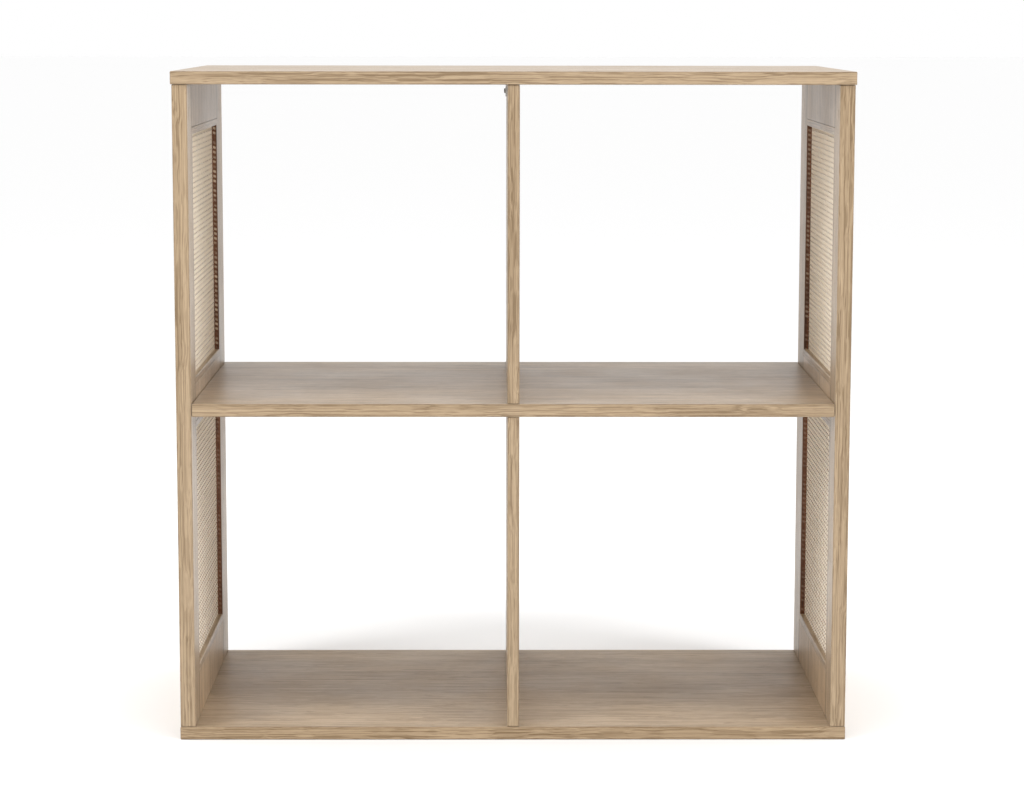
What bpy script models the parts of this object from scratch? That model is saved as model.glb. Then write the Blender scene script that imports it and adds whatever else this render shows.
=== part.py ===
"""Four-compartment cube storage unit in oak-finished board with woven cane side windows.

Units are metres, +Z is up, +X is the unit's right and -Y is its front. The origin is on the floor,
below the middle of the unit. Every piece is one closed solid and touching pieces keep FIT between
them, which is also the fine joint line that shows between the real pieces.
"""

import math

import bmesh
import bpy
from mathutils import Matrix, Vector

# ---------------------------------------------------------------- driving dimensions
WIDTH = 0.780            # over the two side frames
DEPTH = 0.405            # front to back of the side frames
HEIGHT = 0.780           # floor to the top surface
BOARD = 0.015            # top, bottom and shelf
DIVIDER = 0.014          # upright dividers
SIDE = 0.0175            # side frames
TOP_OVERHANG = 0.0015    # how far the top stands proud of the sides, all round
BOTTOM_OVERHANG = 0.0005
FIT = 0.0003             # clearance between touching pieces
BOARD_EASE = 0.0009      # radius on the boards' edges
FRAME_EASE = 0.0005      # radius on the side frames' members

FRONT_STILE = 0.045      # widths of the side frames' members
BACK_STILE = 0.060
TOP_RAIL = 0.0500
MIDDLE_RAIL = 0.0430
BOTTOM_RAIL = 0.0544
TENON_LENGTH = 0.012
TENON_THICK = 0.007

BEAD = 0.0085            # face width of the moulding round each window
BEAD_ROUND = 0.0012      # radius on the moulding's inner edges
CANE = 0.0020            # thickness of the woven panel
CANE_RECESS = 0.0063     # inner face of the frame to the woven panel
GROOVE_DEPTH = 0.0040
GROOVE_PLAY = 0.0002     # groove wall to woven panel, each side

CAM_RADIUS = 0.0075
CAM_LENGTH = 0.0120
CAM_CHAMFER = 0.0006
CAM_INSET = 0.0004       # cam face below the board's surface
CAM_DROP = 0.0340        # underside of the top to the cam's centre
CAM_SLOT = (0.0104, 0.0018, 0.0018)  # length, width and depth of the drive slot
CAM_THROAT = (0.0041, 0.0131)        # the hollow behind the cam's face, from the face inwards
CAM_BOLT_RADIUS = 0.0030
CAM_BOLT_HEAD = 0.0027
CAM_BOLT_NECK = 0.0016
CAM_BOLT_SHANK = 0.0024
CAM_BOLT_BITE = 0.0110   # bolt thread in the top panel
SCREW_RADIUS = 0.0033
SCREW_NECK = 0.0024
SCREW_HEAD = 0.0049
SCREW_HEAD_DEEP = 0.0030
SCREW_COLLAR = 0.0150    # plain shank, from the surface of the outer board
SCREW_LENGTH = 0.0480
SCREW_SOCKET = (0.0022, 0.0024)      # radius and depth of the hexagonal drive
DOWEL_RADIUS = 0.0040
DOWEL_TAPER = 0.0010
DOWEL_BITE = 0.0200      # dowel length in a divider
DOWEL_SEAT = 0.0100      # dowel length in the top panel
DIVIDER_FIXING = 0.1200  # middle of a divider to its dowels and screws

BRACE_LEG = 0.0170
BRACE_WIDTH = 0.0140
BRACE_THICK = 0.0016
BRACE_SETBACK = 0.1500   # front edge of the divider to the brace
BRACE_HOLE = 0.0105      # inside corner to each hole's centre
BRACE_SCREW_RADIUS = 0.0014
BRACE_SCREW_HEAD = 0.0031
BRACE_SCREW_LENGTH = 0.0095

HOLE_SPARE = 0.0010      # blind holes run this much deeper than what they hold
CUTTER_REACH = 0.0020    # cutters start this far outside the surface that they open
ROUND_SIDES = 14
SMALL_SIDES = 10
SHARP_ANGLE = math.radians(40)

# ---------------------------------------------------------------- derived positions
FRONT, BACK = -DEPTH / 2, DEPTH / 2
SIDE_INNER = WIDTH / 2 - SIDE
SIDE_MIDDLE = WIDTH / 2 - SIDE / 2
TOP_UNDER = HEIGHT - BOARD
SHELF_LOW = HEIGHT / 2 - BOARD / 2
SHELF_HIGH = HEIGHT / 2 + BOARD / 2
FRAME_LOW, FRAME_HIGH = BOARD + FIT, TOP_UNDER - FIT
WINDOW_FRONT, WINDOW_BACK = FRONT + FRONT_STILE, BACK - BACK_STILE
WINDOW_TALL = (FRAME_HIGH - FRAME_LOW - TOP_RAIL - MIDDLE_RAIL - BOTTOM_RAIL) / 2
LOWER_SILL = FRAME_LOW + BOTTOM_RAIL
UPPER_SILL = LOWER_SILL + WINDOW_TALL + MIDDLE_RAIL
RAIL_SPANS = {
    "top_rail": (FRAME_HIGH - TOP_RAIL, FRAME_HIGH),
    "middle_rail": (UPPER_SILL - MIDDLE_RAIL, UPPER_SILL),
    "bottom_rail": (FRAME_LOW, LOWER_SILL),
}
WINDOW_SPANS = {
    "upper": (UPPER_SILL, UPPER_SILL + WINDOW_TALL),
    "lower": (LOWER_SILL, LOWER_SILL + WINDOW_TALL),
}
SIDES = {"left": -1, "right": 1}
STILE_SPANS = {"front": (FRONT, WINDOW_FRONT), "back": (WINDOW_BACK, BACK)}


# ---------------------------------------------------------------- materials
def coat(name):
    """The Principled material of a finish, made once."""
    material = bpy.data.materials.get(name)
    if material is None:
        material = bpy.data.materials.new(name)
        material.use_nodes = True
        colour, roughness, metallic = FINISHES[name]
        shader = material.node_tree.nodes["Principled BSDF"]
        shader.inputs["Base Color"].default_value = (*colour, 1.0)
        shader.inputs["Roughness"].default_value = roughness
        shader.inputs["Metallic"].default_value = metallic
    return material


FINISHES = {
    "oak_board": ((0.53, 0.40, 0.27), 0.55, 0.0),
    "oak_bead": ((0.50, 0.37, 0.24), 0.55, 0.0),
    "woven_cane": ((0.66, 0.52, 0.34), 0.65, 0.0),
    "zinc": ((0.62, 0.62, 0.60), 0.35, 1.0),
    "steel": ((0.66, 0.66, 0.67), 0.28, 1.0),
    "beech": ((0.68, 0.52, 0.34), 0.60, 0.0),
}


# ---------------------------------------------------------------- shape helpers
def box(mesh, low, high):
    """Adds the box between two corners to a bmesh."""
    low, high = Vector(low), Vector(high)
    middle = (low + high) / 2
    size = high - low
    place = Matrix.Translation(middle) @ Matrix.Diagonal((*size, 1.0))
    bmesh.ops.create_cube(mesh, size=1.0, matrix=place)


def turned(mesh, profile, place, sides=ROUND_SIDES):
    """Adds a solid turned about Z from (radius, height) points, low end first, then places it."""
    rings = []
    for radius, height in profile:
        ring = []
        for step in range(sides):
            angle = 2 * math.pi * (step + 0.5) / sides
            point = Vector((radius * math.cos(angle), radius * math.sin(angle), height))
            ring.append(mesh.verts.new(place @ point))
        rings.append(ring)
    for lower, upper in zip(rings, rings[1:]):
        for step in range(sides):
            after = (step + 1) % sides
            mesh.faces.new((lower[step], lower[after], upper[after], upper[step]))
    mesh.faces.new(tuple(reversed(rings[0])))
    mesh.faces.new(tuple(rings[-1]))


def aimed(start, direction):
    """The matrix that puts the origin at start and turns +Z to direction."""
    turn = Vector((0, 0, 1)).rotation_difference(Vector(direction))
    return Matrix.Translation(Vector(start)) @ turn.to_matrix().to_4x4()


def piece(name, build, finish_name=None, smooth=False):
    """Makes a named object from a function that fills a bmesh in world coordinates."""
    mesh = bmesh.new()
    build(mesh)
    bmesh.ops.recalc_face_normals(mesh, faces=mesh.faces)
    data = bpy.data.meshes.new(name)
    mesh.to_mesh(data)
    mesh.free()
    thing = bpy.data.objects.new(name, data)
    bpy.context.scene.collection.objects.link(thing)
    if finish_name:
        data.materials.append(coat(finish_name))
    if smooth:
        data.shade_smooth()
        data.set_sharp_from_angle(angle=SHARP_ANGLE)
    return thing


def ease(thing, radius):
    """Rounds an object's edges."""
    bevel = thing.modifiers.new("ease", "BEVEL")
    bevel.width = radius
    bevel.segments = 2
    bevel.limit_method = "ANGLE"


def cut(thing, build):
    """Cuts the shapes that a function builds out of an object."""
    cutter = piece(thing.name + "_cutter", build)
    cutter.hide_render = True
    cutter.display_type = "WIRE"
    boolean = thing.modifiers.new("cut", "BOOLEAN")
    boolean.object = cutter
    boolean.solver = "EXACT"


# ---------------------------------------------------------------- fastener places
def corner_points():
    """Name, X sign and Y of the four uprights' centre lines."""
    for side, sign in SIDES.items():
        for end, span in STILE_SPANS.items():
            yield f"{side}_{end}", sign, sum(span) / 2


def divider_rows():
    """Name and Y of the two fixings along a divider."""
    yield "front", -DIVIDER_FIXING
    yield "back", DIVIDER_FIXING


def base_screw_places():
    """Name and start of every screw driven up through the bottom panel."""
    for corner, sign, y in corner_points():
        yield corner, (sign * SIDE_MIDDLE, y, 0.0)
    for end, y in divider_rows():
        yield "divider_" + end, (0.0, y, 0.0)


def shelf_screw_places():
    """Name, start and direction of every screw driven through a stile into the shelf."""
    for corner, sign, y in corner_points():
        yield corner, (sign * WIDTH / 2, y, HEIGHT / 2), (-sign, 0, 0)


def screw_hole(mesh, start, direction):
    """A stepped hole that clears a connector screw and its sunk head."""
    head, shank = SCREW_HEAD + FIT, SCREW_RADIUS + FIT
    seat = SCREW_HEAD_DEEP + SCREW_HEAD - SCREW_RADIUS + FIT
    profile = [(head, -CUTTER_REACH), (head, SCREW_HEAD_DEEP), (shank, seat)]
    profile.append((shank, SCREW_LENGTH + HOLE_SPARE))
    turned(mesh, profile, aimed(start, direction))


def dowel_hole(mesh, x, y, low, high):
    """A round hole for a dowel, along Z."""
    radius = DOWEL_RADIUS + FIT
    turned(mesh, [(radius, low), (radius, high)], Matrix.Translation((x, y, 0)))


# ---------------------------------------------------------------- boards
def plate(width, depth, low, high):
    """A builder for a board centred on the unit's middle."""
    def build(mesh):
        box(mesh, (-width / 2, -depth / 2, low), (width / 2, depth / 2, high))
    return build


def top_panel():
    """The top board, with the cam bolts' and dowels' holes in its underside."""
    width, depth = WIDTH + 2 * TOP_OVERHANG, DEPTH + 2 * TOP_OVERHANG
    board = piece("top_panel", plate(width, depth, TOP_UNDER, HEIGHT), "oak_board")
    ease(board, BOARD_EASE)

    def bores(mesh):
        bolt = CAM_BOLT_RADIUS + FIT
        for _, sign, y in corner_points():
            place = Matrix.Translation((sign * SIDE_MIDDLE, y, TOP_UNDER))
            turned(mesh, [(bolt, -CUTTER_REACH), (bolt, CAM_BOLT_BITE + FIT)], place)
        for _, y in divider_rows():
            dowel_hole(mesh, 0.0, y, TOP_UNDER - CUTTER_REACH, TOP_UNDER + DOWEL_SEAT + FIT)
        turned(mesh, *brace_screw_hole((0, 0, 1)), sides=SMALL_SIDES)
    cut(board, bores)


def bottom_panel():
    """The bottom board, with the connector screws' holes."""
    width, depth = WIDTH + 2 * BOTTOM_OVERHANG, DEPTH + 2 * BOTTOM_OVERHANG
    board = piece("bottom_panel", plate(width, depth, 0.0, BOARD), "oak_board")
    ease(board, BOARD_EASE)

    def bores(mesh):
        for _, start in base_screw_places():
            screw_hole(mesh, start, (0, 0, 1))
    cut(board, bores)


def middle_shelf():
    """The full-width shelf between the side frames."""
    board = piece("middle_shelf", plate(2 * (SIDE_INNER - FIT), DEPTH, SHELF_LOW, SHELF_HIGH), "oak_board")
    ease(board, BOARD_EASE)

    def bores(mesh):
        for _, start, direction in shelf_screw_places():
            screw_hole(mesh, start, direction)
        for _, y in divider_rows():
            dowel_hole(mesh, 0.0, y, SHELF_LOW - CUTTER_REACH, SHELF_HIGH + CUTTER_REACH)
    cut(board, bores)


def divider(name, low, high, build_bores):
    """An upright board between two levels, on the unit's middle."""
    board = piece(name, plate(DIVIDER, DEPTH, low + FIT, high - FIT), "oak_board")
    ease(board, BOARD_EASE)
    cut(board, build_bores)


def dividers():
    """The two uprights, doweled to the shelf and the top and screwed to the bottom."""
    bite = DOWEL_BITE + HOLE_SPARE

    def upper_bores(mesh):
        for _, y in divider_rows():
            dowel_hole(mesh, 0.0, y, SHELF_HIGH - CUTTER_REACH, SHELF_HIGH + bite)
            dowel_hole(mesh, 0.0, y, TOP_UNDER - bite, TOP_UNDER + CUTTER_REACH)
        turned(mesh, *brace_screw_hole((1, 0, 0)), sides=SMALL_SIDES)

    def lower_bores(mesh):
        for _, y in divider_rows():
            dowel_hole(mesh, 0.0, y, SHELF_LOW - bite, SHELF_LOW + CUTTER_REACH)
            screw_hole(mesh, (0.0, y, 0.0), (0, 0, 1))

    divider("upper_divider", SHELF_HIGH, TOP_UNDER, upper_bores)
    divider("lower_divider", BOARD, SHELF_LOW, lower_bores)


# ---------------------------------------------------------------- side frames
def side_slab(sign, inner, outer):
    """The X range of a layer of a side frame, given as distances from its inner face."""
    ends = (sign * (SIDE_INNER + inner), sign * (SIDE_INNER + outer))
    return min(ends), max(ends)


def tenon_boxes(mesh, sign, low, high, play):
    """Both tenons of a rail, or with play the mortises that take them."""
    middle, half = SIDE / 2, TENON_THICK / 2 + play
    x_low, x_high = side_slab(sign, middle - half, middle + half)
    inset = (high - low) / 4 - play
    reach = TENON_LENGTH + play
    for shoulder, way in ((WINDOW_FRONT, -1), (WINDOW_BACK, 1)):
        y_low, y_high = sorted((shoulder - way * CUTTER_REACH, shoulder + way * reach))
        box(mesh, (x_low, y_low, low + inset), (x_high, y_high, high - inset))


def stile(side, sign, end, span):
    """An upright of a side frame, mortised for the rails and bored for the fasteners."""
    x_low, x_high = side_slab(sign, 0.0, SIDE)
    y = sum(span) / 2

    def build(mesh):
        box(mesh, (x_low, span[0], FRAME_LOW), (x_high, span[1], FRAME_HIGH))
    member = piece(f"{side}_{end}_stile", build, "oak_board")
    ease(member, FRAME_EASE)

    def bores(mesh):
        for low, high in RAIL_SPANS.values():
            tenon_boxes(mesh, sign, low, high, FIT)
        screw_hole(mesh, (sign * SIDE_MIDDLE, y, 0.0), (0, 0, 1))
        screw_hole(mesh, (sign * WIDTH / 2, y, HEIGHT / 2), (-sign, 0, 0))
        bolt = CAM_BOLT_RADIUS + FIT
        place = Matrix.Translation((sign * SIDE_MIDDLE, y, TOP_UNDER))
        turned(mesh, [(bolt, -CAM_DROP), (bolt, CUTTER_REACH)], place)
    cut(member, bores)

    def cam_pocket(mesh):
        pocket = aimed((sign * SIDE_INNER, y, TOP_UNDER - CAM_DROP), (sign, 0, 0))
        radius = CAM_RADIUS + FIT
        turned(mesh, [(radius, -CUTTER_REACH), (radius, CAM_INSET + CAM_LENGTH + FIT)], pocket)
    cut(member, cam_pocket)


def rail(side, sign, name, low, high):
    """A cross member of a side frame, tenoned into both stiles."""
    x_low, x_high = side_slab(sign, 0.0, SIDE)

    def build(mesh):
        box(mesh, (x_low, WINDOW_FRONT + FIT, low), (x_high, WINDOW_BACK - FIT, high))
    member = piece(f"{side}_{name}", build, "oak_board")
    ease(member, FRAME_EASE)

    def tenons(mesh):
        tenon_boxes(mesh, sign, low, high, 0.0)
    joint = piece(f"{side}_{name}_tenons", tenons)
    joint.hide_render = True
    joint.display_type = "WIRE"
    union = member.modifiers.new("tenons", "BOOLEAN")
    union.operation = "UNION"
    union.object = joint
    union.solver = "EXACT"


# ---------------------------------------------------------------- cane windows
def bead_profile():
    """The moulding's outline: (distance in from the frame, distance from the inner face) points."""
    groove_near = CANE_RECESS - GROOVE_PLAY
    groove_far = CANE_RECESS + CANE + GROOVE_PLAY
    floor = BEAD - GROOVE_DEPTH
    steps = 4
    turns = [math.pi / 2 * step / steps for step in range(steps + 1)]
    flat = BEAD - BEAD_ROUND
    near_round = [(flat + BEAD_ROUND * math.sin(turn), BEAD_ROUND * (1 - math.cos(turn))) for turn in turns]
    far_round = [(across, SIDE - depth) for across, depth in reversed(near_round)]
    groove = [(BEAD, groove_near), (floor, groove_near), (floor, groove_far), (BEAD, groove_far)]
    return [(FIT, 0.0), *near_round, *groove, *far_round, (FIT, SIDE)]


def bead_point(sign, inset, depth, corner, window):
    """A point of the moulding, inset from the window's corner, depth from the frame's inner face."""
    low, high = window
    y_way, z_way = corner
    y = (WINDOW_BACK - inset) if y_way > 0 else (WINDOW_FRONT + inset)
    z = (high - inset) if z_way > 0 else (low + inset)
    return Vector((sign * (SIDE_INNER + depth), y, z))


BEAD_RUNS = {
    "front_bead": ((-1, -1), (-1, 1)),
    "back_bead": ((1, 1), (1, -1)),
    "top_bead": ((-1, 1), (1, 1)),
    "bottom_bead": ((1, -1), (-1, -1)),
}


def bead(side, sign, window_name, window, bead_name):
    """One mitred length of moulding between two corners of a window."""
    start, stop = BEAD_RUNS[bead_name]
    along = Vector((0, stop[0] - start[0], stop[1] - start[1])).normalized()

    def build(mesh):
        loops = []
        for corner, shift in ((start, along * FIT / 2), (stop, -along * FIT / 2)):
            points = [bead_point(sign, *spot, corner, window) + shift for spot in bead_profile()]
            loops.append([mesh.verts.new(point) for point in points])
        count = len(loops[0])
        for step in range(count):
            after = (step + 1) % count
            mesh.faces.new((loops[0][step], loops[0][after], loops[1][after], loops[1][step]))
        mesh.faces.new(tuple(reversed(loops[0])))
        mesh.faces.new(tuple(loops[1]))
    piece(f"{side}_{window_name}_{bead_name}", build, "oak_bead")


def cane_panel(side, sign, window_name, window):
    """The stretched woven panel, held in the mouldings' grooves."""
    margin = BEAD - GROOVE_DEPTH + FIT
    x_low, x_high = side_slab(sign, CANE_RECESS, CANE_RECESS + CANE)
    low, high = window

    def build(mesh):
        box(mesh, (x_low, WINDOW_FRONT + margin, low + margin), (x_high, WINDOW_BACK - margin, high - margin))
    piece(f"{side}_{window_name}_cane_panel", build, "woven_cane")


# ---------------------------------------------------------------- fasteners
def cam_lock(corner, sign, y):
    """A zinc cam with a drive slot, open to the bolt's hook from above."""
    middle_z = TOP_UNDER - CAM_DROP
    face = sign * (SIDE_INNER + CAM_INSET)

    def build(mesh):
        profile = [(CAM_RADIUS - CAM_CHAMFER, 0.0), (CAM_RADIUS, CAM_CHAMFER), (CAM_RADIUS, CAM_LENGTH)]
        turned(mesh, profile, aimed((face, y, middle_z), (sign, 0, 0)))
    lock = piece(f"{corner}_cam_lock", build, "zinc", smooth=True)

    def hollows(mesh):
        long, wide, deep = CAM_SLOT
        x_low, x_high = sorted((face - sign * CUTTER_REACH, face + sign * deep))
        box(mesh, (x_low, y - long / 2, middle_z - wide / 2), (x_high, y + long / 2, middle_z + wide / 2))
        x_low, x_high = sorted(face + sign * depth for depth in CAM_THROAT)
        half = CAM_BOLT_HEAD + 5 * FIT
        box(mesh, (x_low, y - half, middle_z), (x_high, y + half, middle_z + CAM_RADIUS + CUTTER_REACH))
    cut(lock, hollows)


def cam_bolt(corner, sign, y):
    """A steel bolt screwed into the top panel, its head held by the cam."""
    head_low = -CAM_DROP + 4 * FIT
    neck_low = head_low + CAM_BOLT_HEAD
    shank_low = neck_low + 2 * CAM_BOLT_HEAD
    taper = CAM_BOLT_SHANK - CAM_BOLT_NECK
    profile = [(CAM_BOLT_HEAD - FIT, head_low), (CAM_BOLT_HEAD, head_low + 2 * FIT),
               (CAM_BOLT_HEAD, neck_low - taper), (CAM_BOLT_NECK, neck_low),
               (CAM_BOLT_NECK, shank_low - taper), (CAM_BOLT_SHANK, shank_low), (CAM_BOLT_SHANK, -4 * FIT)]
    profile += threads(0.0, CAM_BOLT_BITE - CAM_BOLT_NECK, 4, CAM_BOLT_SHANK - FIT, CAM_BOLT_RADIUS)
    profile.append((CAM_BOLT_SHANK / 2, CAM_BOLT_BITE))

    def build(mesh):
        turned(mesh, profile, Matrix.Translation((sign * SIDE_MIDDLE, y, TOP_UNDER)), sides=SMALL_SIDES)
    piece(f"{corner}_cam_bolt", build, "steel", smooth=True)


def threads(low, high, count, core, crest):
    """Turned profile points of a run of screw thread."""
    pitch = (high - low) / count
    points = []
    for turn in range(count):
        start = low + turn * pitch
        points += [(core, start), (crest, start + pitch / 2)]
    return points


def connector_screw(name, start, direction):
    """A sunk-head connector screw with a hexagonal drive."""
    under_head = SCREW_HEAD_DEEP - FIT
    profile = [(SCREW_HEAD, FIT), (SCREW_HEAD, under_head),
               (SCREW_RADIUS, under_head + SCREW_HEAD - SCREW_RADIUS),
               (SCREW_RADIUS, SCREW_COLLAR), (SCREW_NECK, SCREW_COLLAR + SCREW_NECK / 2)]
    profile += threads(SCREW_COLLAR + SCREW_NECK, SCREW_LENGTH - SCREW_HEAD, 5, SCREW_NECK, SCREW_RADIUS)
    profile.append((SCREW_NECK / 3, SCREW_LENGTH))

    def build(mesh):
        turned(mesh, profile, aimed(start, direction), sides=SMALL_SIDES)
    screw = piece(name, build, "steel", smooth=True)

    def socket(mesh):
        radius, depth = SCREW_SOCKET
        turned(mesh, [(radius, -CUTTER_REACH), (radius, depth)], aimed(start, direction), sides=6)
    cut(screw, socket)


def dowel(name, x, y, low, high):
    """A beech dowel with tapered ends."""
    taper, radius = DOWEL_TAPER, DOWEL_RADIUS
    profile = [(radius - taper, low), (radius, low + taper), (radius, high - taper), (radius - taper, high)]

    def build(mesh):
        turned(mesh, profile, Matrix.Translation((x, y, 0)))
    piece(name, build, "beech", smooth=True)


# ---------------------------------------------------------------- divider brace
BRACE_X = -DIVIDER / 2 - FIT
BRACE_Z = TOP_UNDER - FIT
BRACE_Y = FRONT + BRACE_SETBACK + BRACE_WIDTH / 2


def brace_screw_start(direction):
    """Where a brace screw's head sits: on the leg that the direction runs through."""
    if direction[2]:
        return (BRACE_X - BRACE_HOLE, BRACE_Y, BRACE_Z - BRACE_THICK)
    return (BRACE_X - BRACE_THICK, BRACE_Y, BRACE_Z - BRACE_HOLE)


def brace_screw_hole(direction):
    """Profile and place of the hole that a brace screw runs in."""
    radius = BRACE_SCREW_RADIUS + FIT
    profile = [(radius, -CUTTER_REACH), (radius, BRACE_SCREW_LENGTH + HOLE_SPARE)]
    return profile, aimed(brace_screw_start(direction), direction)


def divider_brace():
    """A small folded steel angle that ties the upper divider to the top panel."""
    def build(mesh):
        outline = [(0, 0), (-BRACE_LEG, 0), (-BRACE_LEG, -BRACE_THICK), (-2 * BRACE_THICK, -BRACE_THICK),
                   (-BRACE_THICK, -2 * BRACE_THICK), (-BRACE_THICK, -BRACE_LEG), (0, -BRACE_LEG)]
        near = [mesh.verts.new((BRACE_X + x, BRACE_Y - BRACE_WIDTH / 2, BRACE_Z + z)) for x, z in outline]
        face = mesh.faces.new(near)
        grown = bmesh.ops.extrude_face_region(mesh, geom=[face])["geom"]
        moved = [item for item in grown if isinstance(item, bmesh.types.BMVert)]
        bmesh.ops.translate(mesh, verts=moved, vec=(0, BRACE_WIDTH, 0))
    brace = piece("divider_brace", build, "zinc")

    def holes(mesh):
        for direction in ((0, 0, 1), (1, 0, 0)):
            turned(mesh, *brace_screw_hole(direction), sides=SMALL_SIDES)
    cut(brace, holes)

    for name, direction in (("brace_screw_top", (0, 0, 1)), ("brace_screw_divider", (1, 0, 0))):
        brace_screw(name, direction)


def brace_screw(name, direction):
    """A small wood screw with a domed head."""
    place = aimed(brace_screw_start(direction), direction)
    crest, head = BRACE_SCREW_RADIUS, BRACE_SCREW_HEAD
    core = crest * 0.65
    dome = [(head * math.cos(turn), -3 * FIT - head * math.sin(turn) / 3) for turn in (0.95, 0.45, 0.0)]
    profile = [*dome, (head, -FIT), (crest, -FIT), (crest, BRACE_THICK)]
    profile += threads(BRACE_THICK + FIT, BRACE_SCREW_LENGTH - crest, 3, core, crest)
    profile.append((core / 3, BRACE_SCREW_LENGTH))

    def build(mesh):
        turned(mesh, profile, place, sides=SMALL_SIDES)
    piece(name, build, "steel", smooth=True)


# ---------------------------------------------------------------- assembly
def side_frames():
    """Both framed sides, each with two cane windows."""
    for side, sign in SIDES.items():
        for end, span in STILE_SPANS.items():
            stile(side, sign, end, span)
        for name, (low, high) in RAIL_SPANS.items():
            rail(side, sign, name, low, high)
        for window_name, window in WINDOW_SPANS.items():
            cane_panel(side, sign, window_name, window)
            for bead_name in BEAD_RUNS:
                bead(side, sign, window_name, window, bead_name)


def fasteners():
    """The hardware of the flat-packed joints."""
    for corner, sign, y in corner_points():
        cam_lock(corner, sign, y)
        cam_bolt(corner, sign, y)
    for corner, start in base_screw_places():
        connector_screw(f"{corner}_base_screw", start, (0, 0, 1))
    for corner, start, direction in shelf_screw_places():
        connector_screw(f"{corner}_shelf_screw", start, direction)
    for end, y in divider_rows():
        dowel(f"{end}_top_dowel", 0.0, y, TOP_UNDER - DOWEL_BITE, TOP_UNDER + DOWEL_SEAT)
        dowel(f"{end}_shelf_dowel", 0.0, y, SHELF_LOW - DOWEL_BITE, SHELF_HIGH + DOWEL_BITE)


def main():
    """Clears the scene and builds the whole unit."""
    for old in list(bpy.data.objects):
        bpy.data.objects.remove(old, do_unlink=True)
    top_panel()
    bottom_panel()
    middle_shelf()
    dividers()
    side_frames()
    fasteners()
    divider_brace()


main()
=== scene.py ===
"""Looks of a four-compartment cube storage unit: oak-foil boards and framed sides with woven cane windows.

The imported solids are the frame. Boards, frame members and mouldings keep their solids and get finishes
here. The cane windows are woven strand by strand, and the hardware that shows is made again in finer
detail. Everything is in metres, +Z up, with the open front facing -Y.
"""

import logging
import math
from collections.abc import Callable, Iterable
from dataclasses import dataclass
from enum import Enum
from functools import partial, reduce

import bmesh
import bpy
from bmesh.types import BMesh
from bpy.types import Material, Mesh, Node, NodeTree, Object
from mathutils import Matrix, Vector


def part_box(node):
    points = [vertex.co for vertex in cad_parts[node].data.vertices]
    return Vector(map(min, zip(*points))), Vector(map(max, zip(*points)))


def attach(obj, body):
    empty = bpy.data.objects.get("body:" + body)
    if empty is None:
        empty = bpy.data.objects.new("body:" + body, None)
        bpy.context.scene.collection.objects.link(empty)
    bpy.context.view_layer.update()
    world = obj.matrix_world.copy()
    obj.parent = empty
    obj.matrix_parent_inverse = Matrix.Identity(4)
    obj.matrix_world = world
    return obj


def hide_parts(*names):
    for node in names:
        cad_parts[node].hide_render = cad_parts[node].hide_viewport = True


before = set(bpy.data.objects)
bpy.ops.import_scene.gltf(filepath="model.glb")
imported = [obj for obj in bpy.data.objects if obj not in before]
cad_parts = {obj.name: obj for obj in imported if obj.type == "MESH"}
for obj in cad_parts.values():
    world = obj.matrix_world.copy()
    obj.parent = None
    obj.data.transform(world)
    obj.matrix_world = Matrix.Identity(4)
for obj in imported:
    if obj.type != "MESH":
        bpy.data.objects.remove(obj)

log = logging.getLogger("storage_unit")
Colour = tuple[float, float, float]
Socket = bpy.types.NodeSocket
SIDES = ("left", "right")
ENDS = ("front", "back")
SEED = 7


class Grain(Enum):
    """The axis that a piece's grain runs along, with the order that puts it first and the thickness last."""

    ALONG_X = ("X", "Y", "Z")
    ALONG_Y = ("Y", "Z", "X")
    ALONG_Z = ("Z", "Y", "X")


class Weave(Enum):
    """The two sets of strands in a window, with the parity that makes one pass over where the other dips."""

    LEVEL = 0
    UPRIGHT = 1


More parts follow.
